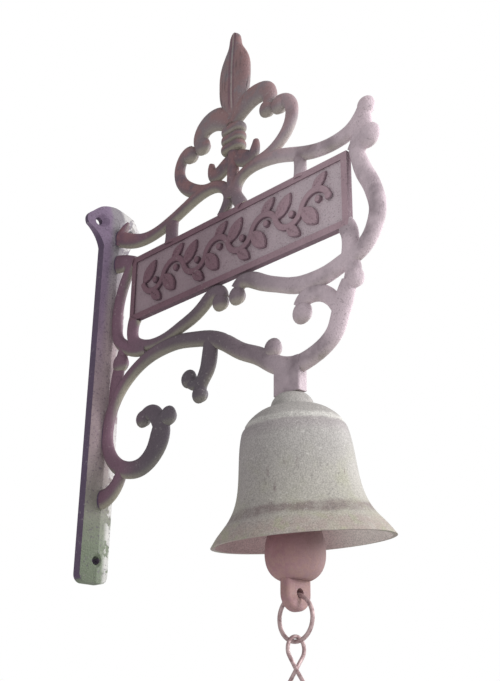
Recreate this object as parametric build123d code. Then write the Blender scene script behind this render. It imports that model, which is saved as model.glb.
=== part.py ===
from build123d import *
from math import asin, cos, degrees, radians, sin
import os

# Cast wall bell on a scrollwork bracket, in millimetres.
# X runs out from the wall, Y sideways along it and Z up.
# The origin is the middle of the back plate's wall face.

# Back plate: a strip with a roof-shaped front and a wide two-screw head.
plate_length = 291.0
plate_width = 23.0
plate_edge = 7.2
plate_ridge = 3.5
plate_corner = 6.0
head_lobe_radius = 7.4
head_lobe_reach = 18.2
head_lobe_drop = 18.0
head_neck_drop = 39.0
head_edge = 3.4
head_slope_length = 16.0

# Screw holes through the plate, with countersinks in its front.
screw_diameter = 5.0
screw_clearance = 1.0
sink_diameter = 10.5
top_screw_spacing = 31.0
bottom_screw_rise = 15.0

# Sign panel: a flat board with a raised rim and a sunk field on both sides.
panel_gap = 25.3
panel_length = 208.0
panel_height = 51.5
panel_thickness = 4.4
panel_bottom = 38.0
rim_width = 4.6
field_sink = 1.3

# Running vine that stands proud of the field.
vine_rise = 1.5
vine_stem = 4.6
vine_swing = 8.5
vine_waves = 4
leaf_length = 20.0
leaf_width = 10.5
leaf_lean = 50.0
berry_radius = 2.6

# Scroll bars: oval rods, measured at their widest.
bar_width = 10.0
bar_depth = 6.6
knob_radius = 6.7
knob_depth = 8.4

# Finial on the middle of the top rail.
finial_shift = 1.3
finial_height = 148.5
finial_width = 30.6
finial_depth = 8.4
petal_width = 15.0
petal_depth = 7.6
collar_width = 21.0
collar_depth = 10.5
collar_ring_height = 7.4
collar_ring_count = 3
stem_width = 9.5

# Block under the arch that carries the bell.
block_length = 21.0
block_depth = 7.6
block_height = 21.8
seat_out = 55.0
seat_below_panel = 93.3

# Bell. It hangs a little askew on its bolt, as the casting leaves it.
bell_lean = 6.4
bell_diameter = 105.2
bell_height = 86.2
bell_wall = 3.4
lip_wall = 2.6
crown_thickness = 4.2
crown_top_radius = 7.3
crown_radius = 12.8
crown_height = 7.4
shoulder_radius = 31.0
shoulder_depth = 23.2
shoulder_step = 1.0
waist_radius = 34.4
waist_depth = 48.2

# Eye bolt, washer and nut.
stud_diameter = 4.0
stud_grip = 10.0
stud_clearance = 0.2
thread_fit = 0.02
washer_diameter = 14.0
washer_thickness = 1.5
nut_flats = 8.0
nut_height = 4.5
eye_wire = 3.0
eye_radius = 4.6
eye_stand_off = 0.9

# Shackle between the bolt's eye and the clapper's eye.
shackle_wire = 2.4
shackle_radius = 4.8
shackle_length = 20.2
hang_gap = 0.3

# Clapper: a pear-shaped weight with an eye above and a thick tab below.
clapper_diameter = 34.0
clapper_neck = 3.2
clapper_length = 66.0
tab_width = 19.2
tab_thickness = 7.0
tab_reach = 7.4
tab_hole = 5.4

# Ring in the tab, chain of figure-eight links and pull ring.
ring_wire = 2.4
ring_radius = 12.2
ring_gap = 0.9
link_wire = 2.2
link_loop_radius = 6.4
link_half_length = 16.8
link_count = 3
pull_wire = 3.0
pull_radius = 13.5

# Places that several pieces share.
plate_front = plate_edge + plate_ridge
plate_top = plate_length / 2
screw_hole = screw_diameter + screw_clearance
panel_start = plate_edge + panel_gap
panel_end = panel_start + panel_length
panel_top = panel_bottom + panel_height
middle = panel_start + panel_length / 2
seat_x = middle + seat_out
seat_z = panel_bottom - seat_below_panel
collar_bottom = panel_top + 46.0
finial_x = middle + finial_shift


def mirrored(points):
    """The same points on the other side of the finial's axis."""
    return [(2 * finial_x - x, z) for x, z in points]


def bar(points, widths, depth=bar_depth):
    """An oval rod along a smooth curve in the middle plane, with widths spread evenly from end to end.

    It is never deeper than it is wide, so a thin tip tapers both ways.
    """
    path = Spline(*[(x, 0, z) for x, z in points])
    sections = []
    for index, width in enumerate(widths):
        along = index / (len(widths) - 1)
        across = Plane(origin=path @ along, x_dir=(0, 1, 0), z_dir=path % along)
        sections.append(across * Ellipse(min(depth, 0.96 * width) / 2, width / 2))
    return sweep(sections, path=path, multisection=True)


def knob(x, z, radius=knob_radius, depth=knob_depth):
    """A flattened ball in the middle plane, with a small flat at each pole."""
    flat_radius = 0.12 * radius
    low = (flat_radius, -depth / 2)
    high = (flat_radius, depth / 2)
    near = 0.72 * radius
    outer = [low, (near, -0.35 * depth), (radius, 0), (near, 0.35 * depth), high]
    side = Spline(*outer, tangents=[(1, 0), (-1, 0)])
    half = [Line((0, depth / 2), (0, -depth / 2)), Line((0, -depth / 2), low)]
    half += [side, Line(high, (0, depth / 2))]
    return Pos(x, 0, z) * revolve(make_face(half), Axis.Y)


def plate_outline():
    """Front view of the plate's strip and of its wide head, in the wall's plane."""
    half = plate_width / 2
    bottom = -plate_length / 2
    lobe_y = head_lobe_reach
    lobe_z = plate_top - head_lobe_drop
    neck_z = plate_top - head_neck_drop
    reach = head_lobe_radius
    strip = Pos(0, (bottom + lobe_z) / 2) * Rectangle(plate_width, lobe_z - bottom)
    strip = fillet(strip.vertices().group_by(Axis.Y)[0], plate_corner)
    low = (lobe_y + reach * cos(radians(-35)), lobe_z + reach * sin(radians(-35)))
    high = (lobe_y + reach * cos(radians(60)), lobe_z + reach * sin(radians(60)))
    edge = [
        ThreePointArc((half, neck_z), (half + 3.6, neck_z + 8.0), low),
        CenterArc((lobe_y, lobe_z), reach, -35, 95),
        ThreePointArc(high, (lobe_y / 2 + 2.0, (high[1] + plate_top) / 2 + 2.4), (0, plate_top)),
        Line((0, plate_top), (0, neck_z)),
        Line((0, neck_z), (half, neck_z)),
    ]
    side = make_face(edge)
    return strip, side + mirror(side, Plane.YZ)


def roof(half_width, edge, top):
    """A long prism with a ridge along Z, whose front falls to the edge's thickness at the half width."""
    slope = (top - edge) / half_width
    far = top / slope
    gable = make_face(Polyline((0, -far), (top, 0), (0, far), close=True))
    return Pos(0, 0, -plate_length) * extrude(gable, 2 * plate_length)


def make_plate():
    """The back plate with its screw holes."""
    strip, head = plate_outline()
    wall = Plane(origin=(0, 0, 0), x_dir=(0, 1, 0), z_dir=(1, 0, 0))
    head_half = head_lobe_reach + head_lobe_radius
    head_body = extrude(wall * head, plate_front) & roof(head_half, head_edge, plate_front)
    strip_body = extrude(wall * strip, plate_front) & roof(plate_width / 2, plate_edge, plate_front)
    far = 2 * plate_front
    above = [(head_edge, plate_top), (plate_front, plate_top - head_slope_length)]
    above += [(far, plate_top - head_slope_length), (far, plate_top + 1), (head_edge, plate_top + 1)]
    side = Plane(origin=(0, head_half + 1, 0), x_dir=(1, 0, 0), z_dir=(0, -1, 0))
    plate = strip_body + head_body
    plate -= extrude(side * make_face(Polyline(*above, close=True)), 2 * head_half + 2)
    for y, z in screw_places():
        plate -= Pos(plate_front / 2, y, z) * Rot(0, 90, 0) * Cylinder(screw_hole / 2, 2 * plate_front)
        sink_depth = (sink_diameter - screw_hole) / 2
        face = plate_front - (plate_front - head_edge) * abs(y) / head_half
        sink = Cone(sink_diameter / 2 + sink_depth, screw_hole / 2, 2 * sink_depth)
        plate -= Pos(face, y, z) * Rot(0, -90, 0) * sink
    return plate


def screw_places():
    """Y and Z of each screw hole."""
    head_z = plate_top - head_lobe_drop
    foot_z = bottom_screw_rise - plate_length / 2
    return [(-top_screw_spacing / 2, head_z), (top_screw_spacing / 2, head_z), (0, foot_z)]


def leaf(length, width):
    """A pointed leaf from the origin along +X."""
    upper = ThreePointArc((0, 0), (0.45 * length, width / 2), (length, 0))
    lower = ThreePointArc((length, 0), (0.45 * length, -width / 2), (0, 0))
    return make_face([upper, lower])


def vine():
    """Front view of the running vine, centred on the origin: a wave of arcs with leaves and berries."""
    half_waves = 2 * vine_waves
    step = (panel_length - 2 * rim_width - leaf_length) / half_waves
    outline = Circle(vine_stem / 2)
    for index in range(half_waves):
        x = (index + 0.5 - half_waves / 2) * step
        side = 1 if index % 2 else -1
        stem = ThreePointArc((x - step / 2, 0), (x, side * vine_swing), (x + step / 2, 0))
        outline += trace(stem, vine_stem)
        outline += Pos(x - step / 2, 0) * Rot(0, 0, -side * leaf_lean) * leaf(leaf_length, leaf_width)
        small_leaf = leaf(0.75 * leaf_length, 0.7 * leaf_width)
        outline += Pos(x - 2, side * vine_swing) * Rot(0, 0, side * 0.8 * leaf_lean) * small_leaf
        outline += Pos(x + 0.12 * step, side * 0.12 * vine_swing) * Circle(berry_radius)
    return outline


def make_panel():
    """The sign board: rim, sunk field and vine on both faces."""
    centre = Pos(middle, 0, panel_bottom + panel_height / 2)
    board = Box(panel_length, panel_thickness, panel_height)
    field_x = panel_length - 2 * rim_width
    field_z = panel_height - 2 * rim_width
    front = Plane(origin=(0, -panel_thickness / 2 + field_sink, 0), x_dir=(1, 0, 0), z_dir=(0, -1, 0))
    back = Plane(origin=(0, panel_thickness / 2 - field_sink, 0), x_dir=(-1, 0, 0), z_dir=(0, 1, 0))
    pattern = vine() & Rectangle(field_x + rim_width, field_z + rim_width)
    for side in (front, back):
        board -= extrude(side * Rectangle(field_x, field_z), 2 * field_sink)
    for side in (front, back):
        board += extrude(side.offset(-0.2) * pattern, vine_rise + 0.2)
    return centre * board


def make_rails():
    """Top rails, their leaf tip and posts, and the two knobs past the panel's end."""
    top = panel_top
    wall = plate_edge
    left = [(wall - 3, top + 29.0), (wall + 13, top + 20.9)]
    left += [(wall + 31, top + 14.4), (panel_start + 24.5, top + 13.7)]
    left += [(panel_start + 40, top + 16.8), (panel_start + 57.5, top + 22.2)]
    left += [(finial_x - 32.5, top + 26.2), (finial_x - 18.8, top + 26.2), (finial_x - 9.0, top + 21.6)]
    left += [(finial_x - 3.9, top + 12.5), (finial_x - 5.8, top + 5.5), (finial_x - 10.8, top - 1.2)]
    left_widths = (1.4, 1.25, 1.15, 1.0, 0.97, 0.95, 0.95, 0.97, 0.9, 0.85, 0.8)
    parts = bar(left, [s * bar_width for s in left_widths])
    thorn = [(wall + 2, top + 20.5), (wall + 6.5, top + 27.5), (wall + 10.2, top + 32.2)]
    thorn += [(wall + 13.8, top + 36.2)]
    parts += bar(thorn, [s * bar_width for s in (1.5, 1.15, 0.7, 0.2)], bar_depth - 0.5)
    right = [(panel_end + 14.6, top + 26.0), (panel_end + 10.5, top + 20.0), (panel_end + 3.0, top + 14.2)]
    right += [(panel_end - 8, top + 11.6), (panel_end - 22, top + 12.0), (panel_end - 38, top + 16.0)]
    right += [(panel_end - 56, top + 22.6), (finial_x + 30, top + 26.2), (finial_x + 16.6, top + 26.0)]
    right += [(finial_x + 6.8, top + 21.4), (finial_x + 3.2, top + 12.5), (finial_x + 5.4, top + 6.6)]
    right += [(finial_x + 10.5, top - 1.0)]
    right_widths = (1.15, 1.15, 1.05, 1.0, 1.0, 1.0, 1.0, 1.0, 0.95, 0.85, 0.95, 0.95)
    parts += bar(right, [s * bar_width for s in right_widths])
    for x, thick in ((panel_start + 41.7, 1.2), (panel_end - 39.9, 0.95)):
        post = [(x - 0.2, top - 2), (x, top + 7), (x - 0.2, top + 15)]
        parts += bar(post, [s * bar_width * thick for s in (1.2, 1.0, 1.1)], bar_depth - 0.3)
    parts += knob(panel_end + 15.1, top + 26.2, knob_radius * 0.95)
    web = [(panel_end + 11.0, top + 21), (panel_end + 11, top + 9), (panel_end + 5.5, top - 3)]
    parts += bar(web, [s * bar_width for s in (1.3, 1.5, 1.4)], bar_depth - 0.2)
    parts += knob(panel_end + 15.8, top + 4.2, knob_radius * 1.28)
    return parts


def make_finial():
    """Leaf, petals, outer loops, collar and stem over the middle of the rails."""
    base = panel_top
    left_loop = [(finial_x - 45.5, base + 68.0), (finial_x - 52.8, base + 66.2)]
    left_loop += [(finial_x - 57.0, base + 59.2), (finial_x - 57.1, base + 51.2)]
    left_loop += [(finial_x - 52.9, base + 42.7), (finial_x - 45.0, base + 35.1)]
    left_loop += [(finial_x - 35, base + 29.6), (finial_x - 23, base + 26.9)]
    right_loop = [(finial_x + 43.5, base + 67.0), (finial_x + 50.0, base + 64.8)]
    right_loop += [(finial_x + 54.8, base + 59.0), (finial_x + 55.7, base + 50.8)]
    right_loop += [(finial_x + 52.2, base + 41.4), (finial_x + 43.8, base + 33.6)]
    right_loop += [(finial_x + 33, base + 28.6), (finial_x + 20.7, base + 27.0)]
    left_petal = [(finial_x - 3.0, base + 69.5), (finial_x - 9.3, base + 77.0)]
    left_petal += [(finial_x - 17.2, base + 82.0), (finial_x - 26, base + 82.4)]
    left_petal += [(finial_x - 32.2, base + 79.0), (finial_x - 35.0, base + 73.3)]
    left_petal += [(finial_x - 33.6, base + 67.5)]
    right_petal = [(finial_x + 1.5, base + 69.5), (finial_x + 7.0, base + 77.0)]
    right_petal += [(finial_x + 15.2, base + 82.2), (finial_x + 24.8, base + 83.4)]
    right_petal += [(finial_x + 32.4, base + 80.6), (finial_x + 35.6, base + 74.0)]
    right_petal += [(finial_x + 32.6, base + 67.6)]
    left_shares = (0.85, 1.0, 1.0, 1.05, 1.1, 1.0, 0.95)
    right_shares = (0.85, 1.0, 1.05, 1.0, 0.9, 1.0, 0.95)
    shapes = [bar(left_loop, [s * bar_width for s in left_shares], bar_depth - 0.4)]
    shapes.append(bar(right_loop, [s * bar_width for s in right_shares], bar_depth - 0.4))
    left_shares = (0.55, 1.02, 1.2, 1.25, 1.17, 1.0, 0.7)
    right_shares = (0.55, 1.0, 1.18, 1.14, 1.02, 0.82, 0.62)
    shapes.append(bar(left_petal, [s * petal_width for s in left_shares], petal_depth))
    shapes.append(bar(right_petal, [s * petal_width for s in right_shares], petal_depth))
    knobs = [(finial_x - 45.3, base + 64.3, 1.02), (finial_x - 32.6, base + 66.0, 1.05)]
    knobs += [(finial_x + 44.3, base + 63.4, 1.0), (finial_x + 32.8, base + 66.2, 0.98)]
    for x, z, size in knobs:
        shapes.append(knob(x, z, knob_radius * size))
    small = [(finial_x - 1.5, base + 42.5), (finial_x - 10.8, base + 36.6), (finial_x - 18.8, base + 35.2)]
    small += [(finial_x - 21.8, base + 40.8), (finial_x - 22.2, base + 46.0)]
    small_widths = [s * bar_width for s in (0.7, 1.25, 1.2, 0.85, 0.4)]
    shapes.append(bar(small, small_widths, bar_depth - 0.8))
    shapes.append(bar(mirrored(small), small_widths, bar_depth - 0.8))
    stem = [(finial_x - 0.5, base + 9), (finial_x, base + 30), (finial_x, base + 48)]
    shapes.append(bar(stem, [stem_width * s for s in (1.15, 1.0, 1.0)], bar_depth + 0.6))
    shapes.append(make_leaf_blade())
    finial = shapes[0]
    for shape in shapes[1:]:
        finial += shape
    for index in range(collar_ring_count):
        ring = extrude(SlotOverall(collar_width, collar_depth), collar_ring_height)
        ring = fillet(ring.edges(), 0.42 * collar_ring_height)
        finial += Pos(finial_x, 0, collar_bottom + 0.99 * index * collar_ring_height) * ring
    return finial


def make_leaf_blade():
    """The finial's middle leaf: two rounded halves with a groove between them."""
    shares = [(0.44, 0.25), (0.52, 0.45), (0.585, 0.74), (0.64, 0.94), (0.71, 1.0), (0.78, 0.985)]
    shares += [(0.84, 0.83), (0.885, 0.6), (0.92, 0.42), (0.96, 0.34), (0.985, 0.25), (1.0, 0.08)]
    halves = []
    for side in (-1, 1):
        sections = []
        for height, share in shares:
            width = finial_width * share
            depth = finial_depth * (0.45 + 0.55 * share)
            level = Plane(origin=(finial_x + side * 0.18 * width, 0, panel_top + finial_height * height))
            sections.append(level * Ellipse(0.32 * width, depth / 2))
        halves.append(loft(sections))
    return halves[0] + halves[1]


def make_wall_side():
    """Bars between the back plate and the panel, and the foot under the arch."""
    low = panel_bottom
    top = panel_top
    wall = plate_edge
    hook = [(panel_start - 2, top - 1.5), (panel_start - 9.6, top - 13), (panel_start - 15.1, top - 27)]
    hook += [(panel_start - 17.3, low + 12), (panel_start - 16.9, low), (panel_start - 13.9, low - 9.8)]
    hook += [(panel_start - 5.5, low - 17.2), (panel_start + 6, low - 22.9), (panel_start + 20, low - 26.0)]
    parts = bar(hook, [s * bar_width for s in (1.0, 1.0, 1.0, 0.95, 0.95, 1.0, 1.0, 0.85)])
    stub = [(wall - 3, top + 5.0), (wall + 8, top + 2.5), (panel_start + 1, top - 3.0)]
    parts += bar(stub, [s * bar_width for s in (1.5, 1.4, 1.0)], bar_depth - 0.3)
    parts += knob(wall + 15.6, low - 29.0, knob_radius * 1.15)
    web = [(wall + 19, low - 16), (wall + 15, low - 29), (wall + 9.5, low - 60)]
    parts += bar(web, [s * bar_width for s in (0.9, 1.25, 0.9)], bar_depth - 1.2)
    foot = [(wall + 24.4, low - 109.5), (wall + 20.6, low - 118.2), (wall + 13.4, low - 124.4)]
    foot += [(wall - 1, low - 126.3)]
    parts += bar(foot, [s * bar_width for s in (0.95, 1.15, 1.35, 1.4)], bar_depth + 0.4)
    return parts


def make_under_bars():
    """Looped bars right under the panel, with the S-shaped bar round its end."""
    low = panel_bottom
    top = panel_top
    left = [(panel_start + 4.5, low + 2), (panel_start + 2.1, low - 7), (panel_start + 4.0, low - 14.8)]
    left += [(panel_start + 12.5, low - 20.9), (panel_start + 27.5, low - 24.1)]
    left += [(panel_start + 42.5, low - 23.1), (finial_x - 48.2, low - 19.6)]
    left += [(finial_x - 35.8, low - 16.0), (finial_x - 25.5, low - 10.6), (finial_x - 17.5, low - 6.0)]
    left += [(finial_x - 11, low - 6.4), (finial_x - 7.6, low - 11.5)]
    shares = (1.35, 1.05, 0.95, 0.85, 0.8, 0.82, 0.9, 0.98, 1.05, 1.1, 0.95)
    parts = bar(left, [s * bar_width for s in shares])
    parts += knob(finial_x - 9.6, low - 13.7)
    right = [(panel_end + 5.5, top - 1), (panel_end + 8.3, top - 9.8), (panel_end + 11.6, top - 19.3)]
    right += [(panel_end + 15.8, top - 27.9), (panel_end + 19.1, low + 13.8), (panel_end + 20.6, low + 5.5)]
    right += [(panel_end + 19.0, low - 3.1), (panel_end + 14.5, low - 11.7), (panel_end + 7, low - 18.0)]
    right += [(panel_end - 3.5, low - 21.2), (panel_end - 17, low - 24.8), (panel_end - 31, low - 25.8)]
    right += [(panel_end - 45.3, low - 23.9), (finial_x + 43.3, low - 18.7), (finial_x + 29, low - 12.3)]
    right += [(finial_x + 17.8, low - 6.6), (finial_x + 10.6, low - 5.9), (finial_x + 6.6, low - 9.2)]
    shares = (0.95, 1.17, 1.2, 1.2, 1.2, 1.18, 1.2, 1.22, 1.17, 1.05, 1.08, 1.12, 1.1)
    parts += bar(right, [s * bar_width for s in shares], bar_depth + 0.3)
    parts += knob(finial_x + 6.2, low - 14.3)
    post = [(panel_end - 4, low + 2), (panel_end - 0.9, low - 4.8), (panel_end - 0.6, low - 12)]
    post += [(panel_end - 2, low - 20)]
    parts += bar(post, [s * bar_width for s in (1.2, 1.25, 1.25, 1.2)], bar_depth - 0.4)
    return parts


def make_arch():
    """The long arch from the foot over to the bell block, with all that grows from it."""
    low = panel_bottom
    wall = plate_edge
    line = [(panel_end - 2.5, low - 35.0), (panel_end - 6.8, low - 46.0), (panel_end - 9.8, low - 54.0)]
    line += [(panel_end - 13.7, low - 63.0), (panel_end - 21.8, low - 69.9), (seat_x + 17, low - 74)]
    line += [(seat_x + 6, low - 76), (seat_x - 4, low - 74.8)]
    line += [(seat_x - 15, low - 70.0), (seat_x - 26.7, low - 62.2)]
    line += [(seat_x - 42.2, low - 54.6), (seat_x - 56.8, low - 44.9), (middle - 17, low - 37.3)]
    line += [(middle - 32.2, low - 33.4), (middle - 47, low - 30.6), (middle - 62, low - 30.1)]
    line += [(middle - 75, low - 31.5), (wall + 39.7, low - 35.7), (wall + 28.0, low - 41.8)]
    line += [(wall + 18.0, low - 49.9), (wall + 10.4, low - 60.2), (wall + 6.3, low - 71)]
    line += [(wall + 5.1, low - 82), (wall + 7.9, low - 92.8)]
    line += [(wall + 14.1, low - 101.6), (wall + 22.9, low - 108.0)]
    line += [(wall + 34.8, low - 111.6), (wall + 46.3, low - 111.1), (wall + 55.6, low - 106.3)]
    line += [(wall + 62.1, low - 98.4), (wall + 64.6, low - 89.6), (wall + 63.8, low - 83)]
    shares = (1.05, 1.35, 1.2, 1.22, 1.22, 1.15, 1.15, 1.12, 1.08)
    shares += (1.06, 0.97, 0.95, 0.97, 1.02, 1.14, 1.27, 1.7, 1.25)
    parts = bar(line, [s * bar_width for s in shares], bar_depth + 0.5)
    left_curl = [(wall + 64.6, low - 88), (wall + 61, low - 80.8), (wall + 55.1, low - 75.4)]
    left_curl += [(wall + 48.5, low - 74.9), (wall + 45.0, low - 78)]
    parts += bar(left_curl, [s * bar_width for s in (1.35, 1.3, 1.22, 1.05, 0.8)])
    parts += knob(wall + 45.4, low - 77.7, knob_radius * 0.93)
    right_curl = [(wall + 64, low - 92), (wall + 67, low - 84.5), (wall + 72, low - 81.6)]
    parts += bar(right_curl, [s * bar_width for s in (1.4, 1.35, 1.25)], bar_depth + 0.1)
    parts += knob(wall + 71.9, low - 81.4, knob_radius * 1.06)
    twig = [(middle - 17, low - 37), (middle - 17.7, low - 49), (middle - 19.9, low - 58.3)]
    twig += [(middle - 24.2, low - 65.4), (middle - 26, low - 71)]
    parts += bar(twig, [s * bar_width for s in (1.2, 1.35, 1.4, 1.2, 1.0)])
    parts += knob(middle - 26.2, low - 73.8, knob_radius * 0.92)
    branch = [(middle - 23.8, low - 64.8), (middle - 30.6, low - 65.8), (middle - 36.6, low - 62.6)]
    parts += bar(branch, [s * bar_width for s in (1.1, 0.9, 0.85)], bar_depth - 0.5)
    parts += knob(middle - 37.4, low - 60.4, knob_radius * 0.96)
    parts += knob(seat_x - 14.9, low - 60.2, knob_radius * 0.98)
    scroll = [(panel_end - 42.0, low - 39.4), (panel_end - 36, low - 34.8), (panel_end - 28.5, low - 34.5)]
    scroll += [(panel_end - 20.9, low - 37.6), (panel_end - 14, low - 44.4), (panel_end - 10.5, low - 52)]
    parts += bar(scroll, [s * bar_width for s in (0.85, 1.15, 1.08, 1.0, 0.9)], bar_depth - 0.2)
    parts += knob(panel_end - 39.4, low - 44.1, knob_radius * 1.1)
    neck = [(panel_end - 2, low - 22), (panel_end + 0.8, low - 29), (panel_end - 1.5, low - 37)]
    parts += bar(neck, [s * bar_width for s in (1.1, 1.2, 1.25)], bar_depth - 0.7)
    parts += knob(panel_end + 2.0, low - 34.8, knob_radius * 0.95)
    return parts


def lean(shape):
    """Sets a shape from the bell's own upright frame onto its leaning seat."""
    return Pos(seat_x, 0, seat_z) * Rot(bell_lean, 0, 0) * shape


def make_block():
    """The block that the bell is bolted to, cut square to the bolt and bored for it."""
    block = Pos(seat_x - 1.0, 0, seat_z + block_height / 2) * Box(block_length, block_depth, block_height)
    block = fillet(block.edges().filter_by(Axis.Z), 1.2)
    under = Pos(0, 0, -block_length / 2) * Box(2 * block_length, 2 * block_length, block_length)
    block -= lean(under)
    return block


def make_bracket():
    """The whole casting."""
    body = make_plate() + make_wall_side()
    body += make_panel()
    body += make_rails()
    body += make_finial()
    body += make_under_bars()
    body += make_arch()
    body += make_block()
    bore = Pos(0, 0, stud_grip / 2 - 1) * Cylinder(stud_diameter / 2 + thread_fit, stud_grip + 2)
    return body - lean(bore)


def make_bell():
    """The bell: outer and inner profiles turned about its axis."""
    mouth = bell_diameter / 2
    height = bell_height
    shoulder = (shoulder_radius, -shoulder_depth)
    dome = Spline(
        (crown_radius + 0.4, -crown_height - 0.6),
        (0.62 * shoulder_radius, -0.44 * shoulder_depth),
        (0.8 * shoulder_radius, -0.61 * shoulder_depth),
        (0.925 * shoulder_radius, -0.805 * shoulder_depth),
        tangents=[(1, -0.25), (0.62, -1)],
    )
    ridge = Line(dome @ 1, dome @ 1 - (0, shoulder_step))
    shoulder_arc = ThreePointArc(ridge @ 1, (0.975 * shoulder_radius, -0.925 * shoulder_depth), shoulder)
    flare = Spline(
        shoulder,
        (waist_radius, -waist_depth),
        (0.72 * mouth, -0.75 * height),
        (0.81 * mouth, -0.85 * height),
        (0.925 * mouth, -0.934 * height),
        (mouth, -height),
        tangents=[shoulder_arc % 1, (0.66, -1)],
    )
    crown = ThreePointArc(
        (crown_top_radius, 0), (0.84 * crown_radius, -0.38 * crown_height), (crown_radius, -crown_height)
    )
    lip = (mouth - lip_wall, -height)
    inside = Spline(
        lip,
        (0.92 * mouth - lip_wall - 0.6, -0.923 * height),
        (0.81 * mouth - bell_wall - 0.5, -0.847 * height),
        (0.72 * mouth - bell_wall - 0.3, -0.75 * height),
        (waist_radius - bell_wall, -waist_depth),
        (shoulder_radius - bell_wall, -shoulder_depth - 1.0),
        (0.8 * shoulder_radius - 0.5 * bell_wall, -0.63 * shoulder_depth - 0.75 * bell_wall),
        (0.55 * shoulder_radius, -0.46 * shoulder_depth - bell_wall + 0.6),
    )
    neck = (crown_radius - bell_wall, -crown_height - 0.9 * bell_wall)
    hole = stud_diameter / 2 + stud_clearance
    spot = washer_diameter / 2 + 1.0
    profile = [
        Line((hole, 0), (crown_top_radius, 0)),
        crown,
        Line(crown @ 1, dome @ 0),
        dome,
        ridge,
        shoulder_arc,
        flare,
        Line((mouth, -height), lip),
        inside,
        Line(inside @ 1, neck),
        Line(neck, (spot, -crown_thickness)),
        Line((spot, -crown_thickness), (hole, -crown_thickness)),
        Line((hole, -crown_thickness), (hole, 0)),
    ]
    face = Plane.XZ * make_face(profile)
    return lean(revolve(face, Axis.Z))


def torus_on(x, y, z, radius, wire, normal):
    """A wire ring with its centre at a point and its plane square to the normal."""
    return Plane(origin=(x, y, z), z_dir=normal) * Torus(radius, wire / 2)


washer_top = crown_thickness
nut_top = washer_top + washer_thickness
eye_drop = nut_top + nut_height + eye_stand_off + eye_radius + eye_wire / 2
pivot_drop = eye_drop + eye_radius
pivot_y = pivot_drop * sin(radians(bell_lean))
pivot_z = seat_z - pivot_drop * cos(radians(bell_lean))


def make_eye_bolt():
    """Stud up into the block, with the clapper's eye at its lower end."""
    reach = eye_drop - eye_radius
    stud = Pos(0, 0, (stud_grip - reach) / 2 - 0.5) * Cylinder(stud_diameter / 2, stud_grip + reach - 1)
    stud = chamfer(stud.edges().sort_by(Axis.Z)[-1], 0.5)
    return lean(stud + Plane(origin=(0, 0, -eye_drop), z_dir=(0, 1, 0)) * Torus(eye_radius, eye_wire / 2))


def make_washer():
    """A plain washer under the bell's crown."""
    ring = Cylinder(washer_diameter / 2, washer_thickness)
    ring -= Cylinder(stud_diameter / 2 + stud_clearance, nut_height)
    return lean(Pos(0, 0, -washer_top - washer_thickness / 2) * ring)


def make_nut():
    """A hexagon nut that holds the bell up."""
    body = extrude(RegularPolygon(nut_flats / 2, 6, major_radius=False), nut_height)
    body = chamfer(body.edges().group_by(Axis.Z)[0], 0.5)
    body -= Pos(0, 0, nut_height / 2) * Cylinder(stud_diameter / 2 + thread_fit, 2 * nut_height)
    return lean(Pos(0, 0, -nut_top - nut_height) * body)


shackle_top = pivot_z + (eye_wire + shackle_wire) / 2 + hang_gap
shackle_bottom = shackle_top - shackle_length
clapper_eye_z = shackle_bottom + (shackle_wire + eye_wire) / 2 + hang_gap - eye_radius
clapper_top = clapper_eye_z - eye_radius
weight_bottom = clapper_top - clapper_length + 4.0
tab_z = weight_bottom - tab_reach
ring_z = tab_z - tab_hole / 2 + ring_wire / 2 + ring_gap - ring_radius


def make_shackle():
    """A long oval wire link in the plane square to the wall."""
    half = shackle_length / 2 - shackle_radius
    path = [
        Line((shackle_radius, -half), (shackle_radius, half)),
        CenterArc((0, half), shackle_radius, 0, 180),
        Line((-shackle_radius, half), (-shackle_radius, -half)),
        CenterArc((0, -half), shackle_radius, 180, 180),
    ]
    centre = (seat_x, pivot_y, (shackle_top + shackle_bottom) / 2)
    side = Plane(origin=centre, x_dir=(0, 1, 0), z_dir=(1, 0, 0))
    route = side * Wire(path)
    start = Plane(origin=route @ 0, z_dir=route % 0)
    return sweep(start * Circle(shackle_wire / 2), path=route)


def make_clapper():
    """Eye, pear-shaped weight and the tab with its hole, all one casting."""
    full = clapper_diameter / 2
    bottom = weight_bottom
    top = clapper_top
    side = Spline(
        (clapper_neck, top + 1.0),
        (clapper_neck + 1.6, top - 7.0),
        (0.52 * full, bottom + 42.0),
        (0.8 * full, bottom + 30.0),
        (0.95 * full, bottom + 22.0),
        (full, bottom + 13.0),
        (0.92 * full, bottom + 6.5),
        (0.55 * full, bottom),
    )
    axis = [Line((0, bottom), (0, top + 1.0)), Line((0, top + 1.0), side @ 0)]
    profile = axis + [side, Line(side @ 1, (0, bottom))]
    weight = revolve(Plane.XZ * make_face(profile), Axis.Z)
    plane = Plane(origin=(0, 0, tab_z), x_dir=(1, 0, 0), z_dir=(0, -1, 0))
    reach = tab_reach + 4.0
    blade = Circle(tab_width / 2) + Pos(0, reach / 2) * Rectangle(tab_width, reach)
    tab = extrude(plane * blade, tab_thickness / 2, both=True)
    tab = fillet(tab.faces().filter_by(Axis.Y).edges(), 0.3 * tab_thickness)
    tab -= plane * Cylinder(tab_hole / 2, 2 * tab_thickness)
    whole = weight + Rot(0, 0, 90) * tab
    whole += torus_on(0, 0, clapper_eye_z, eye_radius, eye_wire, (0, 1, 0))
    return Pos(seat_x, pivot_y, 0) * whole


def make_ring():
    """The round ring in the clapper's tab."""
    return torus_on(seat_x, pivot_y, ring_z, ring_radius, ring_wire, (0, 1, 0))


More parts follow.
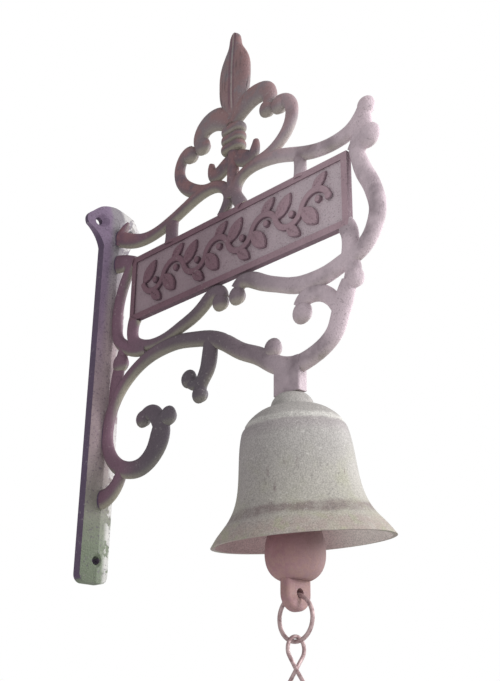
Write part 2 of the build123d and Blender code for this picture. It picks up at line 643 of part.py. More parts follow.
def drop_loop(sideways, down):
    """Half a figure-eight link: a drop-shaped wire loop from the crossing at the origin."""
    reach = link_half_length - link_loop_radius
    slant = asin(link_loop_radius / reach)
    touch = (link_loop_radius * cos(slant), link_loop_radius * sin(slant))
    start = (touch[0], reach - touch[1])
    turn = 180 + 2 * degrees(slant)
    path = Wire(
        [
            Line((0, 0), start),
            CenterArc((0, reach), link_loop_radius, -degrees(slant), turn),
            Line((-start[0], start[1]), (0, 0)),
        ]
    )
    up = (0, 0, -1) if down else (0, 0, 1)
    frame = Plane(origin=(0, 0, 0), x_dir=sideways, z_dir=Vector(*sideways).cross(Vector(*up)))
    route = frame * path
    first = Plane(origin=route @ 0, z_dir=route % 0)
    return sweep(first * Circle(link_wire / 2), path=route, transition=Transition.RIGHT)


def make_link():
    """A figure-eight link about its crossing, with its lower loop turned a quarter from its upper one."""
    return drop_loop((0, 1, 0), False) + drop_loop((1, 0, 0), True) + Sphere(link_wire / 2)


link_top = ring_z - ring_radius + (ring_wire + link_wire) / 2 + hang_gap
link_pitch = 2 * link_half_length - link_wire - hang_gap


def link_crossing(index):
    """Height of the crossing in one link of the chain, counted from the top."""
    return link_top - link_half_length - index * link_pitch


pull_top = link_crossing(link_count - 1) - link_half_length + (link_wire + pull_wire) / 2 + hang_gap


def make_pull_ring():
    """The ring at the chain's lower end, which the hand pulls."""
    return torus_on(seat_x, pivot_y, pull_top - pull_radius, pull_radius, pull_wire, (1, 0, 0))


if __name__ == "__main__":
    os.makedirs("parts", exist_ok=True)
    pieces = {
        "bracket": make_bracket(),
        "bell": make_bell(),
        "eye_bolt": make_eye_bolt(),
        "bell_washer": make_washer(),
        "bell_nut": make_nut(),
        "clapper_shackle": make_shackle(),
        "clapper": make_clapper(),
        "clapper_ring": make_ring(),
        "pull_ring": make_pull_ring(),
    }
    for index in range(link_count):
        pieces[f"chain_link_{index + 1}"] = Pos(seat_x, pivot_y, link_crossing(index)) * make_link()
    for name, piece in pieces.items():
        export_step(piece, f"parts/{name}.step")
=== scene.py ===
"""Finishes of a cast-iron wall bell, a modelled vine on its sign panel, and a plain studio."""
from math import cos, pi, radians, sin

import bmesh
import bpy
import numpy as np
from bpy.props import FloatProperty, FloatVectorProperty, IntProperty, PointerProperty
from bpy.types import Operator, Panel, PropertyGroup
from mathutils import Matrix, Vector


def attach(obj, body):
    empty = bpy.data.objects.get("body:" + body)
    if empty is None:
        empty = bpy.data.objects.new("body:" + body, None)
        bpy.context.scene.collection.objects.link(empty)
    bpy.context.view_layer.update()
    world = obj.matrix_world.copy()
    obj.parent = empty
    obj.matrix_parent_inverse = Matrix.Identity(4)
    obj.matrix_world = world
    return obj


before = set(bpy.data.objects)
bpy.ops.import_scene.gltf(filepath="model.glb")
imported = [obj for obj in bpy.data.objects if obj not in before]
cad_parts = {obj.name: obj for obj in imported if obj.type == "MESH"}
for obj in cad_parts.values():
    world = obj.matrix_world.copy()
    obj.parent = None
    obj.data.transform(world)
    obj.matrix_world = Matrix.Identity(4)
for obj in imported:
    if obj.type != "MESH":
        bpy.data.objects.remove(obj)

bl_info = {
    "name": "Wall Bell",
    "version": (1, 0, 0),
    "blender": (4, 5, 0),
    "location": "View3D > Sidebar > Wall Bell",
    "description": "Finishes a cast-iron wall bell: worn bracket, speckled bell, clapper, chain and studio",
    "category": "Object",
}

IMAGE_WIDTH = 500
IMAGE_HEIGHT = 681
SENSOR_MM = 36.0
MM = 0.001
WELD_DISTANCE = 0.001 * MM
WHITE = (1.0, 1.0, 1.0, 1.0)


def shade(red, green, blue):
    """Linear colour of a screen colour given from 0 to 255."""
    levels = [c / 255 for c in (red, green, blue)]
    return tuple(c / 12.92 if c <= 0.04045 else ((c + 0.055) / 1.055) ** 2.4 for c in levels)


# Node maths


class Signal:
    """A node's output that takes part in arithmetic; each operation adds one Math node."""

    def __init__(self, finish, socket):
        self.finish = finish
        self.socket = socket

    def _math(self, operation, *values):
        """Adds a Math node that works on the values, in their order."""
        return self.finish.node("ShaderNodeMath", {"operation": operation}, dict(enumerate(values)))

    def __add__(self, other):
        return self._math("ADD", self, other)

    def __radd__(self, other):
        return self._math("ADD", other, self)

    def __sub__(self, other):
        return self._math("SUBTRACT", self, other)

    def __rsub__(self, other):
        return self._math("SUBTRACT", other, self)

    def __mul__(self, other):
        return self._math("MULTIPLY", self, other)

    def __rmul__(self, other):
        return self._math("MULTIPLY", other, self)

    def __abs__(self):
        return self._math("ABSOLUTE", self)


class Finish:
    """One material and the nodes that make it."""

    def __init__(self, name):
        self.material = bpy.data.materials.new(name)
        self.material.use_nodes = True
        self.tree = self.material.node_tree
        self.tree.nodes.clear()
        self.place = self.node("ShaderNodeTexCoord", {}, {}, "Object")
        self.facing = self.node("ShaderNodeTexCoord", {}, {}, "Normal")

    def node(self, kind, settings, sockets, output=0):
        """Adds a node, sets its settings, fills its sockets and gives one of its outputs, if it has any."""
        made = self.tree.nodes.new(kind)
        for name, value in settings.items():
            setattr(made, name, value)
        for key, value in sockets.items():
            socket = made.inputs[key]
            if isinstance(value, Signal):
                self.tree.links.new(value.socket, socket)
            elif socket.type == "RGBA":
                socket.default_value = (*value[:3], 1.0)
            else:
                socket.default_value = value
        return Signal(self, made.outputs[output]) if made.outputs else None

    def split(self, vector):
        """X, Y and Z of a vector."""
        made = self.node("ShaderNodeSeparateXYZ", {}, {0: vector}).socket.node
        return [Signal(self, socket) for socket in made.outputs]

    def rise(self, value, low, high):
        """0 below low, 1 above high and a smooth step between; low may be the larger."""
        sockets = {"Value": value, "From Min": low, "From Max": high, "To Min": 0.0, "To Max": 1.0}
        return self.node("ShaderNodeMapRange", {"interpolation_type": "SMOOTHSTEP"}, sockets)

    def band(self, value, low, high, soft):
        """1 between low and high, falling to 0 over the soft distance outside them."""
        return self.rise(value, low - soft, low) * self.rise(value, high + soft, high)

    def noise(self, size, detail=2.0, rough=0.55, seed=0.0, place=None, warp=0.0):
        """Cloudy noise from 0 to 1 whose lumps are about size millimetres across."""
        sockets = {"Vector": place or self.place, "W": seed, "Scale": 1 / (size * MM), "Detail": detail}
        sockets.update({"Roughness": rough, "Distortion": warp})
        return self.node("ShaderNodeTexNoise", {"noise_dimensions": "4D"}, sockets)

    def cells(self, size, seed=0.0):
        """Distance to the nearest of scattered points about size millimetres apart, 0 at a point."""
        sockets = {"Vector": self.place, "W": seed, "Scale": 1 / (size * MM)}
        return self.node("ShaderNodeTexVoronoi", {"voronoi_dimensions": "4D"}, sockets)

    def vector(self, operation, first, second):
        """Sum, difference or product of two vectors, part by part."""
        return self.node("ShaderNodeVectorMath", {"operation": operation}, {0: first, 1: second})

    def dot(self, first, second):
        """Dot product of two vectors."""
        return self.node("ShaderNodeVectorMath", {"operation": "DOT_PRODUCT"}, {0: first, 1: second}, 1)

    def scaled(self, vector, factor):
        """A vector times a number."""
        return self.node("ShaderNodeVectorMath", {"operation": "SCALE"}, {0: vector, "Scale": factor})

    def mix(self, share, first, second):
        """First colour at share 0 and second at share 1."""
        settings = {"data_type": "RGBA", "clamp_factor": True}
        return self.node("ShaderNodeMix", settings, {0: share, 6: first, 7: second}, 2)

    def over(self, skin, *layers):
        """A colour with others laid over it in order; each layer is its share and its colour."""
        for share, layer in layers:
            skin = self.mix(share, skin, layer)
        return skin

    def tint(self, skin, value):
        """A colour made darker or lighter by a changing value."""
        grey = self.node("ShaderNodeCombineColor", {}, {0: value, 1: value, 2: value})
        settings = {"data_type": "RGBA", "blend_type": "MULTIPLY"}
        return self.node("ShaderNodeMix", settings, {0: 1.0, 6: skin, 7: grey}, 2)

    def bump(self, height, depth, below=None):
        """Normals bent by a height from 0 to 1 that stands depth millimetres, over other bent normals."""
        sockets = {"Height": height, "Distance": depth * MM, "Strength": 1.0}
        if below is not None:
            sockets["Normal"] = below
        return self.node("ShaderNodeBump", {}, sockets)

    def close(self, skin, roughness, metallic, normal):
        """Ends the material in one shader."""
        sockets = {"Base Color": skin, "Roughness": roughness, "Metallic": metallic, "Normal": normal}
        shader = self.node("ShaderNodeBsdfPrincipled", {}, sockets)
        self.node("ShaderNodeOutputMaterial", {}, {"Surface": shader})
        return self.material


# Finishes: places and distances are in metres in the part's frame, x out from the wall, y to the right of
# a viewer who stands on the side that the photograph shows, z up. A noise's first number is in millimetres
# and its last is a seed.


def cast_skin(finish, coarse, fine):
    """Normals of a sand-cast skin: slow waves and scattered pits coarse mm deep, sand grain fine mm deep."""
    waves = finish.noise(9.0, 2.0, 0.5, 1.0)
    grain = finish.noise(1.1, 2.0, 0.65, 2.0)
    pits = finish.rise(finish.cells(3.4, 3.0), 0.3, 0.08)
    height = 0.45 * waves + 0.4 * grain - 0.3 * pits + 0.35
    return finish.bump(grain, fine, finish.bump(height, coarse))


def speckle(finish, skin, dark, light, amount, seed):
    """A colour with dark and light flecks a millimetre or so across, each in patches of its own."""
    patches = finish.noise(16.0, 2.0, 0.6, seed + 4.0)
    dark_share = finish.rise(finish.noise(1.3, 1.0, 0.6, seed), 0.56, 0.72)
    dark_share = dark_share * finish.rise(patches, 0.35, 0.7)
    light_share = finish.rise(finish.noise(1.7, 1.0, 0.6, seed + 2.0), 0.6, 0.78)
    light_share = light_share * finish.rise(patches, 0.6, 0.35)
    return finish.over(skin, (dark_share * amount, dark), (light_share * amount, light))


def finial_layers(finish, sizes, paints):
    """Dark streaks on the finial's middle leaf, a pale groove down its axis and plum beside the groove."""
    x, _, z = finish.split(finish.place)
    _, ny, _ = finish.split(finish.facing)
    from_axis = x - sizes.finial_axis
    leaf_low = sizes.finial_leaf
    leaf = finish.rise(z, leaf_low, leaf_low + 0.008) * finish.rise(abs(from_axis), 0.017, 0.014)
    leaf = leaf * finish.rise(abs(ny), 0.3, 0.6)
    stretched = finish.vector("MULTIPLY", finish.place, (1.0, 1.0, 0.12))
    streaks = finish.noise(2.2, 2.0, 0.6, 14.0, stretched)
    groove = finish.rise(abs(from_axis + (streaks - 0.5) * 0.0012), 0.0011, 0.0004)
    beside = finish.band(abs(from_axis), 0.0014, 0.0026, 0.0006)
    return (
        (leaf * finish.rise(streaks, 0.5, 0.7) * 0.55, paints.dark_fleck),
        (leaf * groove * 0.4, paints.light_fleck),
        (leaf * beside * 0.7, paints.relief),
    )


def bar_paint(finish, sizes, paints, clouds):
    """Bars: plum fronts, grey sides and olive-grey undersides that are painted light, painted shade on the
    tops and where they face up or to the wall, purple by the plate, a darker charcoal twig and curl, dusty
    finial, rusty petals, and painted light paling them towards the outer end."""
    x, _, z = finish.split(finish.place)
    nx, ny, nz = finish.split(finish.facing)
    # Darker charcoal on the twig and the curl, low under the panel
    low_darkening = finish.rise(z, 0.035, -0.03) * finish.rise(x, 0.03, 0.06) * finish.rise(x, 0.16, 0.10)
    # Painted shade mask: faces that turn up or towards the wall
    turned = finish.rise(nz - nx, 0.3, 0.9) * finish.rise(x, 0.16, 0.11)
    crest = finish.rise(z, 0.13, 0.17) * finish.rise(turned, 0.8, 0.2)
    rust = finish.rise(finish.noise(11.0, 3.0, 0.6, 13.0), 0.36, 0.56) * finish.rise(z, 0.09, 0.12)
    # Painted light: the bars pale towards the outer end, in cloudy patches
    shift = 0.03 * finish.rise(z, 0.1, 0.14)
    worn = finish.rise(x - shift, 0.12, 0.235) * finish.rise(clouds, 0.2, 0.55)
    return finish.over(
        # Painted light: grey sides paler than the plum fronts, by which way a face turns
        finish.mix(finish.rise(abs(ny), 0.3, 0.75), paints.bar_side_light, paints.bar_front),
        # Painted light on faces that turn down
        (finish.rise(nz, -0.1, -0.75) * 0.8, paints.bar_under_light),
        # Painted shade on faces that turn up
        (finish.rise(nz, 0.35, 0.9) * 0.7, paints.bar_top_shade),
        (finish.rise(x, 0.1, 0.03) * finish.rise(nz, -0.5, -0.1) * 0.65, paints.bar_purple),
        (low_darkening * 0.6, paints.bar_low_dark),
        # Painted shade where the bars face up or to the wall
        (turned * 0.6, paints.bar_turned_shade),
        (crest * 0.45, paints.finial),
        (rust * finish.rise(nz, -0.4, 0.1) * 0.6, paints.rust),
        *finial_layers(finish, sizes, paints),
        (worn * 0.9, paints.far_end_light),
    )


def panel_mask(finish, sizes, inset, soft):
    """1 within the panel's outline less an inset, falling to 0 over the soft distance outside it."""
    x, _, z = finish.split(finish.place)
    along = finish.band(x, sizes.panel_start + inset, sizes.panel_end - inset, soft)
    return along * finish.band(z, sizes.panel_low + inset, sizes.panel_high - inset, soft)


def panel_paint(finish, sizes, paints, grit):
    """Sign panel: a pale sunk field with grit, plum rim and vine with painted shade on their edges, and
    painted light making it paler at the outer end.
    """
    x, y, _ = finish.split(finish.place)
    _, ny, _ = finish.split(finish.facing)
    # Painted light: the field and the relief pale towards the outer end
    far = finish.rise(x, 0.10, 0.24)
    field = finish.mix(far, paints.field, paints.field_far_lit)
    field = finish.mix(finish.rise(grit, 0.52, 0.68) * 0.5, field, paints.relief)
    relief = finish.mix(far, paints.relief, paints.relief_far_lit)
    # Painted shade on the sloping edges of the rim and the vine
    relief = finish.mix(finish.rise(abs(ny), 0.85, 0.5) * 0.6, relief, paints.relief_edge_shade)
    sunk = finish.rise(abs(y), sizes.field_face + 0.0001, sizes.field_face - 0.0001)
    sunk = sunk * panel_mask(finish, sizes, sizes.rim, 0.0003)
    return finish.mix(1 - sunk, field, relief)


def plate_paint(finish, paints, clouds):
    """Back plate: green-grey foot, mauve middle, grey head, purple painted shade on the left slope, pale
    flakes on the right, charcoal flecks and painted shade on its side faces.
    """
    _, y, z = finish.split(finish.place)
    _, ny, _ = finish.split(finish.facing)
    # Painted shade: purple where the plate curves away on its left slope
    left = finish.rise(y + (clouds - 0.5) * 0.006, -0.003, -0.0085) * finish.rise(z, -0.02, 0.06)
    flakes = finish.rise(finish.noise(9.0, 3.0, 0.6, 11.0, warp=0.4), 0.44, 0.5)
    pepper = finish.rise(finish.noise(1.5, 1.0, 0.6, 16.0), 0.58, 0.7)
    return finish.over(
        finish.mix(finish.rise(z, -0.13, -0.04), paints.plate_low, paints.plate_middle),
        (finish.rise(z, 0.02, 0.11), paints.plate_high),
        (left * 0.75, paints.plate_left_shade),
        (flakes * finish.rise(y, 0.0035, 0.0085) * 0.8, paints.flake),
        (pepper * 0.55, paints.plate_fleck_and_side_shade),
        # Painted shade on the plate's side faces
        (finish.rise(abs(ny), 0.6, 0.9), paints.plate_fleck_and_side_shade),
    )


def paint_bracket(sizes, paints):
    """Worn paint with painted light and shade on the bars, the sign panel and the back plate, flecked and
    clouded all over.
    """
    finish = Finish("worn_bracket_iron")
    x, _, _ = finish.split(finish.place)
    clouds = finish.noise(28.0, 3.0, 0.6, 31.0)
    grit = finish.noise(1.2, 2.0, 0.7, 15.0)
    on_plate = finish.rise(x, sizes.plate_front + 0.0005, sizes.plate_front - 0.0005)
    skin = finish.over(
        bar_paint(finish, sizes, paints, clouds),
        (panel_mask(finish, sizes, 0.0, 0.0004), panel_paint(finish, sizes, paints, grit)),
        (on_plate, plate_paint(finish, paints, clouds)),
    )
    skin = speckle(finish, skin, paints.dark_fleck, paints.light_fleck, 0.38, 21.0)
    skin = finish.tint(skin, 0.84 + 0.32 * grit)
    skin = finish.tint(skin, 0.76 + 0.48 * clouds)
    rough = 0.5 + 0.3 * finish.noise(6.0, 2.0, 0.6, 33.0)
    return finish.close(skin, rough, 0.0, cast_skin(finish, 0.8, 0.2))


def paint_bell(sizes, paints):
    """Pale speckled iron: a painted highlight in patches along the shoulder's ridge with a painted shadow
    below it, dull patches, drips, a brown band above a reddish lip, painted shade on the left side and a
    mauve inside with painted light on its right-hand side. Depth runs down the leaning axis from the crown."""
    finish = Finish("pale_bell_iron")
    axis = (0.0, sin(sizes.bell_lean), -cos(sizes.bell_lean))
    from_seat = finish.vector("SUBTRACT", finish.place, sizes.bell_seat)
    depth = finish.dot(from_seat, axis)
    outward = finish.vector("SUBTRACT", from_seat, finish.scaled(axis, depth))
    turned = finish.dot(outward, finish.facing)
    x, y, _ = finish.split(outward)
    wobble = (finish.noise(14.0, 3.0, 0.6, 5.0) - 0.5) * 0.008
    patches = finish.rise(finish.noise(7.0, 3.0, 0.65, 6.0), 0.36, 0.6)
    ridge, band, lip = sizes.bell_ridge, sizes.bell_band, sizes.bell_lip
    near_ridge = depth + 0.3 * wobble
    below = finish.band(near_ridge, ridge + 0.0016, ridge + 0.0051, 0.006)
    below = below * finish.rise(depth, ridge + 0.001, ridge + 0.0017)
    # Painted highlight along the shoulder's ridge, in patches
    ridge_highlight = finish.band(near_ridge, ridge - 0.0011, ridge + 0.0011, 0.0018)
    ridge_highlight = ridge_highlight * finish.rise(finish.noise(12.0, 3.0, 0.6, 8.0), 0.3, 0.65)
    mould = finish.rise(finish.noise(20.0, 3.0, 0.6, 9.0), 0.45, 0.7) * finish.rise(depth, 0.03, 0.05)
    stretched = finish.vector("MULTIPLY", from_seat, (1.0, 1.0, 0.22))
    drips = finish.rise(finish.noise(2.6, 2.0, 0.6, 10.0, stretched), 0.6, 0.68)
    drips = drips * finish.band(depth, 0.05, 0.068, 0.012)
    drips = drips * finish.rise(finish.noise(16.0, 1.0, 0.5, 11.0), 0.5, 0.65)
    worn = finish.band(depth + wobble, band - 0.001, band + 0.001, 0.0034)
    red = finish.rise(depth + 0.5 * wobble, lip, lip + 0.007)
    dull = finish.rise(finish.noise(8.0, 3.0, 0.6, 12.0), 0.5, 0.62)
    dull = dull * finish.rise(depth, lip + 0.001, lip + 0.005)
    # Painted light: the inside paler on the right-hand side
    hollow = finish.mix(finish.rise(x + y, 0.012, 0.058), paints.bell_inside, paints.bell_inside_lit)
    skin = finish.over(
        finish.mix(finish.rise(depth, 0.03, 0.07), paints.bell_top, paints.bell_low),
        (finish.rise(x + y, -0.004, -0.056) * 0.5, paints.bell_shadow),
        (below * 0.45, paints.bell_shadow),
        (ridge_highlight * 0.6, paints.bell_ridge),
        (mould * 0.5, paints.bell_mould),
        (drips * 0.6, paints.bell_band),
        (worn * (0.4 + 0.35 * patches), paints.bell_band),
        (red * (0.35 + 0.4 * patches), paints.bell_lip),
        (dull * 0.6, paints.bell_mould),
        (finish.rise(turned, 0.0, -0.002), hollow),
    )
    skin = speckle(finish, skin, paints.bell_dark, paints.bell_light, 0.5, 41.0)
    stipple = finish.rise(finish.noise(0.75, 1.0, 0.5, 45.0), 0.35, 0.65)
    skin = finish.tint(skin, 0.80 + 0.32 * stipple)
    skin = finish.tint(skin, 0.86 + 0.28 * finish.noise(22.0, 3.0, 0.6, 43.0))
    rough = 0.55 + 0.25 * finish.noise(5.0, 2.0, 0.6, 44.0)
    return finish.close(skin, rough, 0.0, cast_skin(finish, 0.35, 0.14))


def paint_clapper(sizes, paints):
    """Brown-red iron, matt, paler and greyer on its right-hand side by painted light, with darker stains and
    tan rust towards the tab.
    """
    finish = Finish("red_clapper_iron")
    x, y, z = finish.split(finish.place)
    stains = finish.rise(finish.noise(9.0, 3.0, 0.6, 51.0), 0.4, 0.7)
    bloom = finish.rise(z, sizes.clapper_foot + 0.012, sizes.clapper_foot - 0.006)
    bloom = bloom * finish.rise(finish.noise(3.5, 3.0, 0.65, 54.0), 0.42, 0.6)
    skin = finish.over(
        finish.mix(stains * 0.6, paints.clapper, paints.clapper_stain),
        # Painted light: the right-hand side paler and greyer
        (finish.rise(x + y, 0.172, 0.214) * 0.55, paints.clapper_lit_side),
        (bloom * 0.6, paints.clapper_rust),
    )
    skin = speckle(finish, skin, paints.clapper_stain, paints.bell_lip, 0.5, 52.0)
    skin = finish.tint(skin, 0.86 + 0.28 * finish.noise(0.9, 2.0, 0.6, 55.0))
    rough = 0.6 + 0.25 * finish.noise(4.0, 2.0, 0.6, 53.0)
    return finish.close(skin, rough, 0.0, cast_skin(finish, 0.3, 0.12))


def paint_wire(paints):
    """Dull drawn wire with brown tarnish in patches."""
    finish = Finish("dull_wire")
    tarnish = finish.rise(finish.noise(4.0, 3.0, 0.6, 61.0), 0.4, 0.66)
    skin = finish.mix(tarnish, paints.wire, paints.wire_tarnish)
    rough = 0.42 + 0.3 * tarnish
    grain = finish.noise(0.7, 2.0, 0.6, 62.0)
    return finish.close(skin, rough, 0.25, finish.bump(grain, 0.05))


def paint_bolt(paints):
    """Dull grey steel with fine scratches."""
    finish = Finish("dull_bolt_steel")
    scratch = finish.noise(0.9, 3.0, 0.7, 71.0)
    skin = finish.mix(finish.rise(scratch, 0.35, 0.7), paints.bolt, paints.wire_tarnish)
    return finish.close(skin, 0.45 + 0.2 * scratch, 0.5, finish.bump(scratch, 0.05))


# Surfaces


def grid_faces(rows, columns):
    """Quads of a grid of points, row after row."""
    corner = np.arange(rows - 1)[:, None] * columns + np.arange(columns - 1)[None, :]
    return np.stack([corner, corner + columns, corner + columns + 1, corner + 1], axis=-1).reshape(-1, 4)


def weld(mesh):
    """Joins the points that meet at poles, tips and seams."""
    shape = bmesh.new()
    shape.from_mesh(mesh)
    bmesh.ops.remove_doubles(shape, verts=shape.verts, dist=WELD_DISTANCE)
    shape.to_mesh(mesh)
    shape.free()


def build_piece(name, points, faces, material, body):
    """Puts a surface into a mesh object that rides on a body."""
    mesh = bpy.data.meshes.new(name)
    mesh.from_pydata(points.reshape(-1, 3).tolist(), [], faces.tolist())
    weld(mesh)
    mesh.materials.append(material)
    mesh.polygons.foreach_set("use_smooth", np.ones(len(mesh.polygons), bool))
    piece = bpy.data.objects.new(name, mesh)
    bpy.context.scene.collection.objects.link(piece)
    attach(piece, body)
    return piece


def on_panel(sizes, side, u, v, h):
    """Points from a panel face's own u, v and h: x = middle + side u, y = -side (relief_top + h) and
    z = middle + v, where side is 1 for the front and -1 for the back."""
    u, v, h = np.broadcast_arrays(u, v, h)
    middle_x = (sizes.panel_start + sizes.panel_end) / 2
    middle_z = (sizes.panel_low + sizes.panel_high) / 2
    return np.stack([middle_x + side * u, -side * (sizes.relief_top + h), middle_z + v], axis=-1)


def stamp(name, form, spots, sizes, side, material):
    """Sets copies of one flat-bottomed form on a face of the panel.

    form is a grid of (u, v, h): u and v lie in the face and h stands out of it. Each spot is
    (u, v, turn, size): the grid's u and v are scaled by size, turned, and moved to the spot.
    """
    rows, columns = form.shape[:2]
    spot_u, spot_v, turn, size = np.array(spots).T[:, :, None, None]
    u = size * (form[..., 0] * np.cos(turn) - form[..., 1] * np.sin(turn)) + spot_u
    v = size * (form[..., 0] * np.sin(turn) + form[..., 1] * np.cos(turn)) + spot_v
    points = on_panel(sizes, side, u, v, form[..., 2])
    first = rows * columns * np.arange(len(spots))[:, None, None]
    faces = (grid_faces(rows, columns)[None] + first).reshape(-1, 4)
    return build_piece(name, points, faces, material, "bracket")


def leaf_form(length, width, rise):
    """A leaf. Its half width is width / 2 times 1 - ((t - f) / r)^2, where t runs from 0 at the stalk to 1 at
    the tip, f is where it is fullest and r is f before that and 1 - f after. Across it the height follows
    half an ellipse, less a sunk midrib and side veins that run forward from the midrib."""
    fullest = 0.45
    midrib_width = 0.14
    vein_pairs = 6
    vein_slant = 1.4
    along = np.linspace(0, 1, 49)[:, None]
    across = np.sin(np.linspace(-pi / 2, pi / 2, 33))[None, :]
    share = np.clip(1 - ((along - fullest) / np.where(along < fullest, fullest, 1 - fullest)) ** 2, 0, 1)
    dome = np.sqrt(np.clip(1 - across ** 2, 0, 1)) * share ** 0.4
    midrib = np.exp(-((across / midrib_width) ** 2)) * (1 - along ** 3)
    veins = np.cos(2 * pi * (vein_pairs * along - vein_slant * np.abs(across)))
    h = rise * dome * (1 - 0.5 * midrib + 0.16 * veins)
    u = np.broadcast_to(along * length, h.shape)
    return np.stack([u, across * share * width / 2, h], axis=-1)


def berry_form(radius, rise):
    """Half an ellipsoid: u and v are the radius times cos(lift) times cos or sin of the angle around, and h
    is the rise times sin(lift), for lift from 0 to a right angle."""
    lift = np.linspace(0, pi / 2, 9)[:, None]
    around = np.linspace(2 * pi, 0, 25)[None, :]
    u = radius * np.cos(lift) * np.cos(around)
    v = radius * np.cos(lift) * np.sin(around)
    h = np.broadcast_to(rise * np.sin(lift), u.shape)
    return np.stack([u, v, h], axis=-1)


def stem_points(sizes, side):
    """The vine's stem: a half-round section carried along a wave of circular arcs. An arc of chord step and
    height swing has the radius (step^2 / 4 + swing^2) / (2 swing)."""
    step = sizes.vine_step
    swing = sizes.vine_swing
    count = sizes.vine_half_waves
    radius = (step ** 2 / 4 + swing ** 2) / (2 * swing)
    half_angle = np.arctan2(step / 2, radius - swing)
    local = np.linspace(-1, 1, 25)[:-1]
    index = np.repeat(np.arange(count), len(local))
    angle = np.tile(local, count) * half_angle
    flip = np.where(index % 2 == 1, 1.0, -1.0)
    u = (index + 0.5 - count / 2) * step + radius * np.sin(angle)
    v = flip * (radius * np.cos(angle) - (radius - swing))
    normal = np.stack([np.sin(angle), flip * np.cos(angle)], axis=-1) * flip[:, None]
    round_angle = np.linspace(-pi / 2, pi / 2, 13)[None, :]
    across = np.sin(round_angle) * sizes.vine_stem / 2
    rise = np.cos(round_angle) * sizes.vine_lift
    across_u = normal[:, :1] * across
    across_v = normal[:, 1:] * across
    return on_panel(sizes, side, u[:, None] + across_u, v[:, None] + across_v, rise)


def model_vine(sizes, material):
    """Leaves, berries and stem in the round on both faces of the panel."""
    count = sizes.vine_half_waves
    step = sizes.vine_step
    swing = sizes.vine_swing
    lean = sizes.leaf_lean
    middles = [((i + 0.5 - count / 2) * step, 1 if i % 2 else -1) for i in range(count)]
    large = [(u - step / 2, 0, -flip * lean, 1.0) for u, flip in middles]
    small = [(u - 2 * MM, flip * swing, flip * 0.8 * lean, sizes.small_leaf) for u, flip in middles]
    berries = [(u + 0.12 * step, flip * 0.12 * swing, 0, 1.0) for u, flip in middles]
    berries.append((count / 2 * step, 0, 0, sizes.end_berry))
    leaf = leaf_form(sizes.leaf_length, sizes.leaf_width, sizes.leaf_rise)
    berry = berry_form(sizes.berry_radius, 1.3 * sizes.leaf_rise)
    for side, word in ((1, "front"), (-1, "back")):
        stamp(f"vine_leaves_{word}", leaf, large, sizes, side, material)
        stamp(f"vine_small_leaves_{word}", leaf, small, sizes, side, material)
        stamp(f"vine_berries_{word}", berry, berries, sizes, side, material)
        points = stem_points(sizes, side)
        faces = grid_faces(*points.shape[:2])
        build_piece(f"vine_stem_{word}", points, faces, material, "bracket")


# Settings


def length(name, about, value):
    """A length setting in metres, given in millimetres."""
    return FloatProperty(
        name=name, description=about, default=value * MM, unit="LENGTH", subtype="DISTANCE", precision=5
    )


def angle(name, about, degrees):
    """An angle setting, given in degrees."""
    return FloatProperty(name=name, description=about, default=radians(degrees), subtype="ANGLE")


def factor(name, about, value):
    """A setting without a unit, from 0 up."""
    return FloatProperty(name=name, description=about, default=value, min=0, subtype="FACTOR")


def point(name, about, x, y, z):
    """A place setting in metres."""
    return FloatVectorProperty(
        name=name, description=about, default=(x, y, z), size=3, unit="LENGTH", subtype="XYZ", precision=5
    )


def power(name, about, watts):
    """A lamp's power setting."""
    return FloatProperty(name=name, description=about, default=watts, min=0, unit="POWER")


def colour(name, about, red, green, blue):
    """A colour setting, given as a screen colour."""
    return FloatVectorProperty(
        name=name, description=about, default=shade(red, green, blue), size=3, min=0, max=1, subtype="COLOR"
    )


class BellSizes(PropertyGroup):
    """Places on the casting that the finishes and the vine follow."""

    plate_front: length("Plate front", "Distance of the back plate's front from the wall", 11.3)
    panel_start: length("Panel start", "Wall end of the sign panel", 32.5)
    panel_end: length("Panel end", "Outer end of the sign panel", 240.5)
    panel_low: length("Panel bottom", "Height of the panel's lower edge", 38.0)
    panel_high: length("Panel top", "Height of the panel's upper edge", 89.5)
    rim: length("Rim", "Width of the panel's raised rim", 4.6)
    field_face: length("Field", "Distance of the panel's sunk field from the middle plane", 1.2)
    relief_top: length("Relief height", "Distance of the vine's flat top from the middle plane", 2.36)
    finial_axis: length("Finial axis", "Distance of the finial's middle from the wall", 137.8)
    finial_leaf: length("Finial leaf", "Height where the streaks of the finial's leaf begin", 168.0)
    vine_half_waves: IntProperty(
        name="Half waves", description="Number of the vine's half waves", default=8, min=1, subtype="UNSIGNED"
    )
    vine_step: length("Vine step", "Length of half a wave of the vine", 22.35)
    vine_swing: length("Vine swing", "How far the stem swings up and down", 8.5)
    vine_stem: length("Stem width", "Width of the vine's stem", 4.6)
    vine_lift: length("Stem rise", "How far the round stem stands up", 1.2)
    leaf_length: length("Leaf length", "Length of a large leaf", 20.0)
    leaf_width: length("Leaf width", "Width of a large leaf", 10.5)
    leaf_rise: length("Leaf rise", "How far a leaf's middle stands up", 1.5)
    leaf_lean: angle("Leaf lean", "Turn of a leaf from the panel's length", 50)
    small_leaf: factor("Small leaf", "Size of a small leaf against a large one", 0.75)
    berry_radius: length("Berry radius", "Radius of a berry", 2.6)
    end_berry: factor("End berry", "Size of the berry at the stem's end against the others", 1.1)
    bell_seat: point("Bell seat", "Top of the bell's crown", 0.1915, 0.0, -0.0553)
    bell_lean: angle("Bell lean", "Lean of the bell on its bolt", 6.4)
    bell_ridge: length("Bell ridge", "Depth of the shoulder's ridge below the crown", 18.9)
    bell_band: length("Bell band", "Depth of the worn band below the crown", 71.6)
    bell_lip: length("Bell lip", "Depth below the crown where the lip begins", 73.5)
    clapper_foot: length("Clapper foot", "Height of the clapper's bulb where its tab begins", -150.0)


